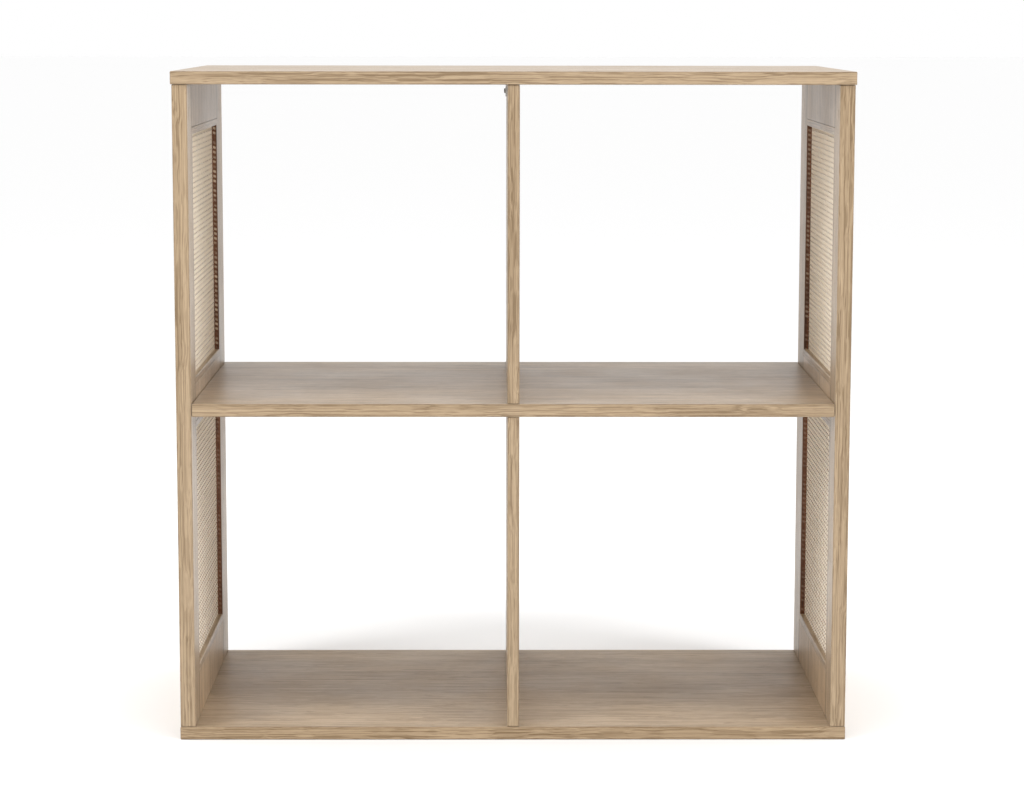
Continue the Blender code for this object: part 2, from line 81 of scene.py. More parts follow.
# ---- node trees
class Wires:
    """Adds nodes to one node tree and links them."""

    def __init__(self, tree: NodeTree) -> None:
        """Args:
            tree: the tree to add to.
        """
        self.tree = tree

    def feed(self, socket: Socket, value: object) -> None:
        """Links a socket to another socket, or gives it a plain value.

        Args:
            socket: the input to feed.
            value: an output socket or a default value.
        """
        if isinstance(value, bpy.types.NodeSocket):
            self.tree.links.new(value, socket)
        else:
            socket.default_value = value

    def add(self, kind: str, inputs: dict | None = None, **settings: object) -> Node:
        """Adds a node.

        Args:
            kind: the node's type name.
            inputs: what feeds its inputs, by name or index.
            **settings: the node's own properties.

        Returns:
            The node.
        """
        node = self.tree.nodes.new(kind)
        for name, value in settings.items():
            setattr(node, name, value)
        for name, value in (inputs or {}).items():
            self.feed(node.inputs[name], value)
        return node

    def first(self, kind: str, inputs: dict | None = None, **settings: object) -> Socket:
        """The first output of a node that is added from the same Args."""
        return self.add(kind, inputs, **settings).outputs[0]

    def calc(self, operation: str, *terms: object) -> Socket:
        """A Math node's result for these terms."""
        return self.first("ShaderNodeMath", dict(enumerate(terms)), operation=operation)

    def vector_calc(self, operation: str, *terms: object) -> Socket:
        """A Vector Math node's result for these terms."""
        return self.first("ShaderNodeVectorMath", dict(enumerate(terms)), operation=operation)

    def plus(self, *terms: object) -> Socket:
        """The terms added up."""
        return reduce(partial(self.calc, "ADD"), terms)

    def minus(self, first: object, second: object) -> Socket:
        """The first term less the second."""
        return self.calc("SUBTRACT", first, second)

    def times(self, first: object, second: object) -> Socket:
        """One term times the other."""
        return self.calc("MULTIPLY", first, second)

    def over(self, first: object, second: object) -> Socket:
        """The first term divided by the second."""
        return self.calc("DIVIDE", first, second)

    def magnitude(self, term: object) -> Socket:
        """The term without its sign."""
        return self.calc("ABSOLUTE", term)

    def remap(self, value: Socket, low: float, high: float, start: float = 0.0, stop: float = 1.0) -> Socket:
        """Eases a value from the range low..high to start..stop.

        Args:
            value: what to remap.
            low: the value that gives start.
            high: the value that gives stop.
            start: the result at low and below.
            stop: the result at high and above.

        Returns:
            The remapped value.
        """
        ends = {"Value": value, "From Min": low, "From Max": high, "To Min": start, "To Max": stop}
        return self.add("ShaderNodeMapRange", ends, interpolation_type="SMOOTHSTEP").outputs["Result"]

    def noise(self, vector: Socket, stretch: Colour, detail: float = 2.0, bend: float = 0.0) -> Socket:
        """Noise that is stretched along the axes.

        Args:
            vector: the coordinates, in metres.
            stretch: how many features there are in a metre along each axis.
            detail: the number of finer layers.
            bend: how far the noise distorts itself.

        Returns:
            The noise, about 0 to 1.
        """
        scaled = self.vector_calc("MULTIPLY", vector, stretch)
        inputs = {"Vector": scaled, "Scale": 1.0, "Detail": detail, "Roughness": 0.55, "Distortion": bend}
        return self.first("ShaderNodeTexNoise", inputs)

    def tint(self, factor: object, first: object, second: object) -> Socket:
        """Mixes two colours.

        Args:
            factor: the share of the second colour.
            first: a colour or an output socket.
            second: a colour or an output socket.

        Returns:
            The mixed colour.
        """
        node = self.add("ShaderNodeMix", data_type="RGBA")
        for index, value in ((0, factor), (6, first), (7, second)):
            self.feed(node.inputs[index], (*value, 1.0) if isinstance(value, tuple) else value)
        return node.outputs[2]

    def split(self, vector: Socket) -> dict[str, Socket]:
        """A vector's parts by axis."""
        outputs = self.add("ShaderNodeSeparateXYZ", {0: vector}).outputs
        return {axis: outputs[axis] for axis in "XYZ"}

    def join(self, parts: Iterable[object]) -> Socket:
        """A vector made of three parts."""
        return self.first("ShaderNodeCombineXYZ", dict(enumerate(parts)))

    def finish(self, result: Node, **values: Socket) -> None:
        """Feeds a group's output node, by socket name."""
        for label, value in values.items():
            self.feed(result.inputs[label], value)


def node_group(name: str, kind: str, inputs: dict, outputs: dict) -> tuple[Wires, Socket, Node]:
    """Starts a node group with named sockets.

    Args:
        name: the group's name.
        kind: ShaderNodeTree or GeometryNodeTree.
        inputs: socket types by name, each in a tuple with its default value where it has one.
        outputs: socket types by name.

    Returns:
        Its wires, the inputs' sockets by name and its output node.
    """
    tree = bpy.data.node_groups.new(name, kind)
    for label, given in inputs.items():
        socket_type, *default = (given,) if isinstance(given, str) else given
        socket = tree.interface.new_socket(label, in_out="INPUT", socket_type=socket_type)
        if default:
            socket.default_value = default[0]
    for label, socket_type in outputs.items():
        tree.interface.new_socket(label, in_out="OUTPUT", socket_type=socket_type)
    wires = Wires(tree)
    return wires, wires.add("NodeGroupInput").outputs, wires.add("NodeGroupOutput")


FLOAT, VECTOR = "NodeSocketFloat", "NodeSocketVector"
INTEGER, GEOMETRY, MATERIAL = "NodeSocketInt", "NodeSocketGeometry", "NodeSocketMaterial"


@dataclass(frozen=True)
class NoiseLayer:
    """A layer of noise: its features per metre along and across the grain, and the range that it is eased over."""

    along: float
    across: float
    low: float = 0.34
    high: float = 0.66
    detail: float = 2.0

    def noise(self, wires: Wires, vector: Socket) -> Socket:
        """The layer's plain noise."""
        return wires.noise(vector, (self.along, self.across, self.across), self.detail)

    def mask(self, wires: Wires, vector: Socket, start: float = 0.0, stop: float = 1.0) -> Socket:
        """The layer's noise, eased from its range to start..stop."""
        return wires.remap(self.noise(wires, vector), self.low, self.high, start, stop)


DRIFT, DRIFT_SWAY = NoiseLayer(7.0, 22.0), 0.009
RIPPLE, RIPPLE_SWAY = NoiseLayer(30.0, 75.0, detail=1.0), 0.0022
FIGURE_STRETCH, FIGURE_BEND = (1.6, 26.0, 26.0), 0.6
RINGS, RING_SHARE = 7.0, 0.60
STREAKS, STREAK_SHARE = NoiseLayer(5.0, 760.0, 0.45, 0.61), 0.66
THREADS, THREAD_SHARE = NoiseLayer(11.0, 1500.0), 0.42
BANDS, BAND_SHARE = NoiseLayer(1.1, 48.0), 0.14
PORES = NoiseLayer(55.0, 2300.0, 0.60, 0.74, 1.0)
THREAD_RELIEF = 0.4


def make_oak_grain() -> NodeTree:
    """Oak figure on coordinates whose X runs along the grain: broad figure, wavy streaks and pore dashes."""
    wires, given, result = node_group(
        "oak_grain", "ShaderNodeTree", {"Vector": VECTOR, "Figure": (FLOAT, 0.5)},
        {"Tone": FLOAT, "Pores": FLOAT, "Height": FLOAT})
    sway = wires.plus(*(wires.times(wires.minus(layer.noise(wires, given["Vector"]), 0.5), reach)
                        for layer, reach in ((DRIFT, DRIFT_SWAY), (RIPPLE, RIPPLE_SWAY))))
    wavy = wires.vector_calc("ADD", given["Vector"], wires.join((0.0, sway, sway)))
    figure = wires.noise(wavy, FIGURE_STRETCH, 2.0, FIGURE_BEND)
    rings = wires.calc("PINGPONG", wires.times(figure, RINGS), 0.5)
    ringed = wires.times(wires.minus(wires.times(rings, 2.0), 0.5), given["Figure"])
    streaks, threads, pores = (layer.mask(wires, wavy) for layer in (STREAKS, THREADS, PORES))
    fine = wires.plus(wires.times(streaks, STREAK_SHARE), wires.times(threads, THREAD_SHARE))
    broad = wires.plus(BANDS.mask(wires, wavy, -BAND_SHARE, BAND_SHARE), wires.times(ringed, RING_SHARE))
    wires.finish(result, Tone=wires.plus(fine, broad), Pores=pores,
                 Height=wires.minus(wires.times(threads, THREAD_RELIEF), pores))
    return wires.tree


RUBBED = NoiseLayer(90.0, 90.0, 0.40, 0.66, 3.0)
SEAM_CORE, SEAM_FADE = 0.0001, 0.0006
SHOULDER_SHADE_CORE, SHOULDER_SHADE_FADE = 0.0020, 0.0080


def make_box_edges() -> NodeTree:
    """Masks on a box-shaped piece: rubbed arrises, the edge banding's line and painted shade beside a rail's tenons.
    """
    wires, given, result = node_group(
        "box_edges", "ShaderNodeTree",
        {"Vector": VECTOR, "Low": VECTOR, "High": VECTOR,
         "Reach": (FLOAT, 0.0012), "Band": (FLOAT, 0.0006), "Tenon": (FLOAT, -1.0)},
        {"Wear": FLOAT, "Seam": FLOAT, "Shoulder": FLOAT})
    below = wires.split(wires.vector_calc("SUBTRACT", given["Vector"], given["Low"]))
    above = wires.split(wires.vector_calc("SUBTRACT", given["High"], given["Vector"]))
    gaps = [wires.calc("MINIMUM", below[axis], above[axis]) for axis in "XYZ"]
    least, most = (reduce(partial(wires.calc, pick), gaps) for pick in ("MINIMUM", "MAXIMUM"))
    edge = wires.minus(wires.minus(wires.plus(*gaps), least), most)
    near = wires.minus(1.0, wires.remap(wires.over(edge, given["Reach"]), 0.25, 1.0))
    beside = wires.magnitude(wires.minus(edge, given["Band"]))
    # Painted shade: a band along a rail's ends, where its tenons meet the stiles, fading over a few millimetres.
    shoulder_shade = wires.remap(wires.minus(gaps[1], given["Tenon"]), SHOULDER_SHADE_CORE, SHOULDER_SHADE_FADE, 1.0, 0.0)
    jointed = wires.calc("GREATER_THAN", given["Tenon"], 0.0)
    wires.finish(result, Wear=wires.times(near, RUBBED.mask(wires, given["Vector"])),
                 Seam=wires.remap(beside, SEAM_CORE, SEAM_FADE, 1.0, 0.0),
                 Shoulder=wires.times(shoulder_shade, jointed))
    return wires.tree


CLOUDS = NoiseLayer(9.0, 9.0, detail=3.0)
DUST_SPECKS = NoiseLayer(900.0, 900.0, 0.62, 0.78, 1.0)
DUST_PATCHES = NoiseLayer(14.0, 14.0, 0.42, 0.70)


def make_handling() -> NodeTree:
    """Faint cloudiness that hands and cleaning leave in a sheen, and a little settled dust."""
    wires, given, result = node_group(
        "handling", "ShaderNodeTree", {"Vector": VECTOR, "Normal": VECTOR},
        {"Cloud": FLOAT, "Dust": FLOAT})
    specks, patches = (layer.mask(wires, given["Vector"]) for layer in (DUST_SPECKS, DUST_PATCHES))
    facing_up = wires.remap(wires.split(given["Normal"])["Z"], 0.6, 1.0)
    wires.finish(result, Cloud=CLOUDS.noise(wires, given["Vector"]),
                 Dust=wires.times(wires.times(specks, patches), facing_up))
    return wires.tree


FIBRES, FIBRE_SHARE = NoiseLayer(60.0, 4200.0), 0.55
BLEACH, BLEACH_SHARE = NoiseLayer(18.0, 260.0), 0.65
JOINTS = NoiseLayer(34.0, 0.0, 0.70, 0.76, 1.0)
STRAND_SHIFT, STRAND_SHARE, FIBRE_BASE = 7.0, 0.35, 0.35


def make_strand_fibre() -> NodeTree:
    """Fibre lines, growth joints and bleached patches on coordinates whose X runs along a strand."""
    wires, given, result = node_group(
        "strand_fibre", "ShaderNodeTree", {"Vector": VECTOR, "Strand": (FLOAT, 0.5)},
        {"Tone": FLOAT, "Joint": FLOAT, "Height": FLOAT})
    own = wires.join((wires.times(given["Strand"], STRAND_SHIFT), 0.0, 0.0))
    place = wires.vector_calc("ADD", given["Vector"], own)
    fibres, patches = (layer.noise(wires, place) for layer in (FIBRES, BLEACH))
    tone = wires.plus(wires.times(fibres, FIBRE_SHARE), wires.times(patches, BLEACH_SHARE))
    varied = wires.plus(wires.minus(tone, FIBRE_BASE), wires.times(given["Strand"], STRAND_SHARE))
    wires.finish(result, Tone=varied, Joint=JOINTS.mask(wires, place), Height=fibres)
    return wires.tree


TOOL_LINES = (900.0, 900.0, 9000.0)
DULL_SPOTS = NoiseLayer(420.0, 420.0, 0.42, 0.64, 3.0)


def make_tooling() -> NodeTree:
    """Fine machining lines and dull spots on metal."""
    wires, given, result = node_group(
        "tooling", "ShaderNodeTree", {"Vector": VECTOR}, {"Lines": FLOAT, "Dull": FLOAT})
    wires.finish(result, Lines=wires.noise(given["Vector"], TOOL_LINES), Dull=DULL_SPOTS.mask(wires, given["Vector"]))
    return wires.tree


SHADER_GROUPS: dict[str, Callable[[], NodeTree]] = {
    "oak_grain": make_oak_grain, "box_edges": make_box_edges, "handling": make_handling,
    "strand_fibre": make_strand_fibre, "tooling": make_tooling,
}


# ---- finishes
FOIL_STEP, CAP_STRETCH = Vector((0.37, 0.11, 0.05)), Vector((0.5, 0.2, 0.1))
CONSTANTS = {"roughness": "Roughness", "metallic": "Metallic", "ior": "IOR", "specular": "Specular IOR Level"}


class Paint(Wires):
    """The node tree of one new material, with its Principled shader and its own coordinates."""

    def __init__(self, name: str, **constants: float) -> None:
        """Args:
            name: the material's name.
            **constants: the shader's own values, by the names in CONSTANTS.
        """
        self.material = bpy.data.materials.new(name)
        self.material.use_nodes = True
        super().__init__(self.material.node_tree)
        self.shader = self.tree.nodes["Principled BSDF"]
        for label, value in constants.items():
            self.shader.inputs[CONSTANTS[label]].default_value = value
        self.coordinates = self.add("ShaderNodeTexCoord")

    @property
    def place(self) -> Socket:
        """Object coordinates, in metres."""
        return self.coordinates.outputs["Object"]

    @property
    def facing(self) -> Socket:
        """The surface's normal."""
        return self.coordinates.outputs["Normal"]

    def group(self, name: str, **inputs: object) -> dict[str, Socket]:
        """The outputs by name of a shared shader group, which is made on first use.

        Args:
            name: the group's name.
            **inputs: what feeds its inputs.
        """
        tree = bpy.data.node_groups.get(name) or SHADER_GROUPS[name]()
        node = self.add("ShaderNodeGroup", node_tree=tree)
        for label, value in inputs.items():
            self.feed(node.inputs[label], value)
        return {output.name: output for output in node.outputs}

    def shade(self, label: str, value: Socket) -> None:
        """Feeds one of the shader's sockets."""
        self.feed(self.shader.inputs[label], value)

    def emboss(self, height: Socket, depth: float) -> None:
        """Feeds the shader's normal with a bump.

        Args:
            height: the bump's height, about 0 to 1.
            depth: the distance that a height of 1 stands for.
        """
        bump = self.first("ShaderNodeBump", {"Height": height, "Distance": depth, "Strength": 1.0})
        self.shade("Normal", bump)


@dataclass(frozen=True)
class OakFoil:
    """Printed oak foil on board: wavy streaks, pore dashes, a satin sheen, rubbed edges and painted shade beside the
    rails' tenons.
    """

    light: Colour = (0.470, 0.345, 0.218)
    dark: Colour = (0.228, 0.152, 0.081)
    pore: Colour = (0.150, 0.095, 0.050)
    bare: Colour = (0.520, 0.410, 0.280)
    dust: Colour = (0.62, 0.60, 0.57)
    roughness: float = 0.34
    cloudiness: float = 0.05
    dulling: float = 0.25
    figure: float = 0.35
    pore_share: float = 0.42
    pore_roughness: float = 0.12
    seam_share: float = 0.45
    wear_share: float = 0.30
    dust_share: float = 0.25
    tenon: float = 0.0123
    # Shares of painted shade beside a rail's tenons on its outer and its inner faces.
    shoulder_shares: tuple[float, float] = (0.10, 0.85)
    bump: float = 0.00006

    @staticmethod
    def grain_space(paint: Paint, grain: Grain, start: Vector) -> Socket:
        """Coordinates whose X runs along the grain, also on the banded ends.

        Args:
            paint: the material.
            grain: the axis of the piece's grain.
            start: a shift that gives the piece its own stretch of foil.

        Returns:
            The coordinates, in metres.
        """
        place, facing = paint.split(paint.place), paint.split(paint.facing)
        along, wide, deep = (place[axis] for axis in grain.value)
        on_end = paint.remap(paint.magnitude(facing[grain.value[0]]), 0.60, 0.80)
        picked = paint.add("ShaderNodeMix", data_type="VECTOR")
        for index, value in ((0, on_end), (4, paint.join((along, wide, deep))), (5, paint.join((wide, along, deep)))):
            paint.feed(picked.inputs[index], value)
        return paint.first("ShaderNodeMapping", {"Vector": picked.outputs[1], "Location": start})

    def start(self, name: str, grain: Grain, shift: Vector, sheen: float = 1.0) -> tuple[Paint, dict, dict]:
        """Starts a material with the foil's grain, sheen and bump.

        Args:
            name: the material's name.
            grain: the axis of its grain.
            shift: where its stretch of foil starts.
            sheen: how much of the full sheen it has.

        Returns:
            The material, the grain's masks and the handling's masks.
        """
        paint = Paint(name, ior=1.2 + 0.3 * sheen, specular=0.5 * sheen)
        oak = paint.group("oak_grain", Vector=self.grain_space(paint, grain, shift), Figure=self.figure)
        handled = paint.group("handling", Vector=paint.place, Normal=paint.facing)
        rough = self.roughness + self.dulling * (1.0 - sheen)
        clouded = paint.remap(handled["Cloud"], 0.25, 0.75, rough - 0.04, rough + self.cloudiness)
        pored = paint.plus(clouded, paint.times(oak["Pores"], self.pore_roughness))
        paint.shade("Roughness", pored)
        paint.emboss(oak["Height"], self.bump)
        return paint, oak, handled

    def colour(self, paint: Paint, oak: dict[str, Socket]) -> Socket:
        """The foil's colour from the grain's masks."""
        base = paint.tint(oak["Tone"], self.light, self.dark)
        return paint.tint(paint.times(oak["Pores"], self.pore_share), base, self.pore)

    def material(self, node: str, grain: Grain, order: int, sheen: float = 1.0) -> Material:
        """The finish of one piece.

        Args:
            node: the CAD node that it covers.
            grain: the axis of its grain.
            order: the piece's number, which picks its stretch of foil.
            sheen: how much of the full sheen the piece has.

        Returns:
            The material.
        """
        paint, oak, handled = self.start(f"oak_{node}", grain, FOIL_STEP * order, sheen)
        low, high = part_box(node)
        tenon = self.tenon if "rail" in node else -1.0
        edges = paint.group("box_edges", Vector=paint.place, Low=low, High=high, Tenon=tenon)
        inward = paint.times(paint.split(paint.facing)["X"], 1.0 if node.startswith("left") else -1.0)
        # Painted shade beside a rail's tenons, darkest on the inner faces, in the pore colour.
        shade = paint.remap(inward, 0.3, 0.8, *self.shoulder_shares)
        colour = self.colour(paint, oak)
        for mask, share, over in ((edges["Seam"], self.seam_share, self.pore),
                                  (edges["Wear"], self.wear_share, self.bare),
                                  (edges["Shoulder"], shade, self.pore),
                                  (handled["Dust"], self.dust_share, self.dust)):
            colour = paint.tint(paint.times(mask, share), colour, over)
        paint.shade("Base Color", colour)
        return paint.material


@dataclass(frozen=True)
class StainedBead(OakFoil):
    """The windows' mouldings: oak-toned, with a dark stain on the upright ones' edges in the window and painted spots
    of light on that stain.
    """

    stain_light: Colour = (0.190, 0.068, 0.023)
    stain_dark: Colour = (0.085, 0.029, 0.010)
    # Colour of the painted spots of light on the stained edge.
    painted_light_spot: Colour = (0.700, 0.560, 0.400)
    painted_light_spot_pitch: float = 0.00605
    painted_light_spot_half: float = 0.0031
    painted_light_spot_lean: float = 60.0
    painted_light_spot_shares: tuple[float, float, float] = (0.90, 0.40, 0.18)

    def painted_light_spots(self, paint: Paint, node: str) -> Socket:
        """A mask of painted spots of light down the dark edge, one for each level strand, where light through the
        cane's holes falls.

        Args:
            paint: the material.
            node: the CAD node of the moulding.

        Returns:
            The mask, 0 to 1, times the share of painted light spots that this moulding has.
        """
        low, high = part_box(node)
        place = paint.split(paint.place)
        row = paint.over(paint.minus(place["Z"], low.z), self.painted_light_spot_pitch)
        lean = paint.times(paint.minus(place["X"], low.x), self.painted_light_spot_lean)
        phase = paint.magnitude(paint.minus(paint.calc("FRACT", paint.plus(row, lean)), 0.5))
        middle = high.x - self.painted_light_spot_half if node.startswith("left") else low.x + self.painted_light_spot_half
        aside = paint.over(paint.magnitude(paint.minus(place["X"], middle)), self.painted_light_spot_half)
        uneven = paint.remap(paint.noise(paint.place, (40.0, 40.0, 90.0)), 0.30, 0.62)
        spot = paint.times(paint.remap(phase, 0.14, 0.34, 1.0, 0.0), paint.remap(aside, 0.30, 0.75, 1.0, 0.0))
        # The painted spots of light are strongest in the left upper window and faintest in the lower ones.
        left, right, lower = self.painted_light_spot_shares
        share = lower if "lower" in node else left if node.startswith("left") else right
        return paint.times(paint.times(spot, uneven), share)

    def material(self, node: str, grain: Grain, order: int, sheen: float = 1.0) -> Material:
        """The finish of one moulding, from the same Args as the foil's."""
        paint, oak, _ = self.start(f"bead_{node}", grain, FOIL_STEP * order, sheen)
        colour = self.colour(paint, oak)
        if grain is Grain.ALONG_Z:
            stain = paint.tint(oak["Tone"], self.stain_light, self.stain_dark)
            # Painted light: pale spots down the stained edge where light through the cane's holes falls.
            stain = paint.tint(self.painted_light_spots(paint, node), stain, self.painted_light_spot)
            across = paint.magnitude(paint.split(paint.facing)["Y"])
            colour = paint.tint(paint.remap(across, 0.45, 0.75), colour, stain)
        paint.shade("Base Color", colour)
        return paint.material


@dataclass(frozen=True)
class CaneSkin:
    """Split cane: pale fibres, darker growth joints and a dry, waxy sheen, with painted shade on the faces that point
    up or down and where a strand dips under the other set.
    """

    light: Colour = (0.980, 0.930, 0.810)
    dark: Colour = (0.930, 0.820, 0.650)
    joint: Colour = (0.520, 0.370, 0.230)
    # Colour of the painted shade on the strands' flanks and in their dips.
    flank_shade: Colour = (0.300, 0.165, 0.080)
    joint_share: float = 0.55
    flank_shade_share: float = 0.85
    dip_shade_share: float = 0.24
    roughness: float = 0.26
    bump: float = 0.00007

    def material(self, weave: Weave) -> Material:
        """The finish of the strands that run one way."""
        paint = Paint(f"cane_{weave.name.lower()}", ior=1.48)
        place = paint.split(paint.place)
        order = "YZX" if weave is Weave.LEVEL else "ZYX"
        space = paint.join([place[axis] for axis in order])
        strand = paint.add("ShaderNodeAttribute", attribute_name="strand_tone").outputs["Fac"]
        fibre = paint.group("strand_fibre", Vector=space, Strand=strand)
        colour = paint.tint(fibre["Tone"], self.light, self.dark)
        colour = paint.tint(paint.times(fibre["Joint"], self.joint_share), colour, self.joint)
        # Painted shade: faces that point up or down, the level strands' flanks, and the dips where a strand passes
        # under the other set are darkened towards a shade colour.
        rim = paint.magnitude(paint.split(paint.facing)["Z"])
        crest = paint.add("ShaderNodeAttribute", attribute_name="crest").outputs["Fac"]
        dip = paint.times(paint.minus(1.0, crest), self.dip_shade_share)
        flank_shade = paint.calc("MAXIMUM", paint.remap(rim, 0.12, 0.55, 0.0, self.flank_shade_share), dip)
        colour = paint.tint(flank_shade, colour, self.flank_shade)
        paint.shade("Base Color", colour)
        rough = paint.remap(fibre["Tone"], 0.2, 0.9, self.roughness - 0.06, self.roughness + 0.12)
        paint.shade("Roughness", rough)
        paint.emboss(fibre["Height"], self.bump)
        return paint.material


@dataclass(frozen=True)
class PlatedMetal:
    """Plated or cast metal with fine tool marks and dull spots."""

    name: str
    bright: Colour
    tarnish: Colour
    roughness: float
    bump: float = 0.00002

    def material(self) -> Material:
        """The material, made on first use."""
        made = bpy.data.materials.get(self.name)
        if made:
            return made
        paint = Paint(self.name, metallic=1.0)
        tooled = paint.group("tooling", Vector=paint.place)
        paint.shade("Base Color", paint.tint(tooled["Dull"], self.bright, self.tarnish))
        rough = paint.remap(tooled["Dull"], 0.0, 1.0, self.roughness, self.roughness + 0.16)
        paint.shade("Roughness", rough)
        paint.emboss(tooled["Lines"], self.bump)
        return paint.material


@dataclass(frozen=True)
class CapFoil(OakFoil):
    """The same foil on the small caps over the cams, without banded edges."""

    def material(self) -> Material:
        """The material of all the caps."""
        paint, oak, _ = self.start("oak_caps", Grain.ALONG_Z, CAP_STRETCH)
        paint.shade("Base Color", self.colour(paint, oak))
        return paint.material


OAK = OakFoil()
# A lighter copy of the foil for the middle and bottom rails: painted light, standing in for the light that falls on
# their inner faces.
PAINTED_LIGHT_OAK = OakFoil(light=(0.550, 0.404, 0.256), dark=(0.305, 0.205, 0.112))
BEAD = StainedBead(figure=0.2, bump=0.00004, cloudiness=0.08, dulling=0.0, pore_roughness=0.0)
CAP = CapFoil(pore_roughness=0.0)
BEECH = OakFoil(light=(0.70, 0.53, 0.34), dark=(0.55, 0.38, 0.21), roughness=0.62, figure=0.1, seam_share=0.0)
CANE = CaneSkin()
ZINC = PlatedMetal("cast_zinc", (0.60, 0.60, 0.59), (0.40, 0.40, 0.39), 0.38)
PLATE = PlatedMetal("plated_brace", (0.72, 0.72, 0.70), (0.52, 0.52, 0.50), 0.30)
BLUED = PlatedMetal("blued_steel", (0.200, 0.180, 0.170), (0.100, 0.092, 0.088), 0.38)
STEEL = PlatedMetal("bright_steel", (0.66, 0.66, 0.67), (0.46, 0.46, 0.47), 0.24)


# ---- shape helpers
def new_piece(name: str, mesh: Mesh, material: Material | None = None) -> Object:
    """Links a mesh to the scene as an object at the origin.

    Args:
        name: the object's name.
        mesh: its mesh.
        material: its material, if the mesh has none yet.

    Returns:
        The object.
    """
    mesh.name = name
    if material:
        mesh.materials.clear()
        mesh.materials.append(material)
    piece = bpy.data.objects.new(name, mesh)
    bpy.context.scene.collection.objects.link(piece)
    return piece


def mesh_of(name: str, build: Callable[[BMesh], None], smooth_below: float = 35.0) -> Mesh:
    """Makes a mesh from a function that fills a bmesh.

    Args:
        name: the mesh's name.
        build: the function.
        smooth_below: the angle in degrees up to which edges are shaded smooth.

    Returns:
        The mesh, with its faces pointing outwards.
    """
    shape = bmesh.new()
    build(shape)
    bmesh.ops.recalc_face_normals(shape, faces=shape.faces)
    mesh = bpy.data.meshes.new(name)
    shape.to_mesh(mesh)
    shape.free()
    mesh.shade_smooth()
    mesh.set_sharp_from_angle(angle=math.radians(smooth_below))
    return mesh


def grown(name: str, tree: NodeTree, values: dict[str, object],
          seed_mesh: Mesh | None = None) -> Mesh:
    """Runs a geometry tree and keeps its result as a plain mesh.

    Args:
        name: the mesh's name.
        tree: the geometry node tree.
        values: the tree's inputs by socket name.
        seed_mesh: the mesh that the tree starts from, where it reads one.

    Returns:
        The mesh, with the modifier gone.
    """
    host = new_piece(name + "_host", seed_mesh or bpy.data.meshes.new(name + "_seed"))
    modifier = host.modifiers.new("grow", "NODES")
    modifier.node_group = tree
    for item in tree.interface.items_tree:
        if item.in_out == "INPUT" and item.name in values:
            modifier[item.identifier] = values[item.name]
    depsgraph = bpy.context.evaluated_depsgraph_get()
    mesh = bpy.data.meshes.new_from_object(host.evaluated_get(depsgraph), depsgraph=depsgraph)
    host.modifiers.remove(modifier)
    bpy.data.objects.remove(host)
    mesh.name = name
    return mesh


Outline = Callable[[float], float]
Rings = list[tuple[float, Outline | float]]


def hexagon_outline(apothem: float) -> Outline:
    """A hexagon's radius at an angle, from the distance across half its flats."""
    sector = math.pi / 3
    return lambda angle: apothem / math.cos((angle + sector / 2) % sector - sector / 2)


def cross_outline(reach: float, half_width: float) -> Outline:
    """A cross recess's radius at an angle.

    Args:
        reach: centre to the tip of an arm.
        half_width: half of an arm's width.
    """
    def radius(angle: float) -> float:
        """The cross's radius at an angle."""
        narrow = min(abs(math.cos(angle)), abs(math.sin(angle)))
        return min(reach, half_width / max(narrow, half_width / reach))
    return radius


def lofted(shape: BMesh, rings: Rings, sides: int = 48) -> None:
    """Adds a closed body lofted through outlines along Z.

    Args:
        shape: the bmesh to add to.
        rings: each ring's height with its outline, or with its radius where it is round.
        sides: the points in a ring.
    """
    turns = [2 * math.pi * step / sides for step in range(sides)]
    loops = []
    for height, outline in rings:
        reaches = [outline(turn) if callable(outline) else outline for turn in turns]
        loops.append([shape.verts.new((reach * math.cos(turn), reach * math.sin(turn), height))
                      for turn, reach in zip(turns, reaches)])
    for lower, upper in zip(loops, loops[1:]):
        for step in range(sides):
            after = (step + 1) % sides
            shape.faces.new((lower[step], lower[after], upper[after], upper[step]))
    shape.faces.new(tuple(reversed(loops[0])))
    shape.faces.new(tuple(loops[-1]))


# ---- geometry trees
def finished_tree(wires: Wires, result: Node, geometry: Socket, material: Socket) -> NodeTree:
    """A geometry tree, ended with realised instances and their material."""
    whole = wires.first("GeometryNodeRealizeInstances", {0: geometry})
    wires.feed(result.inputs[0], wires.first("GeometryNodeSetMaterial", {"Geometry": whole, "Material": material}))
    return wires.tree


WANDER_ALONG, WANDER_APART = 30.0, 3.7


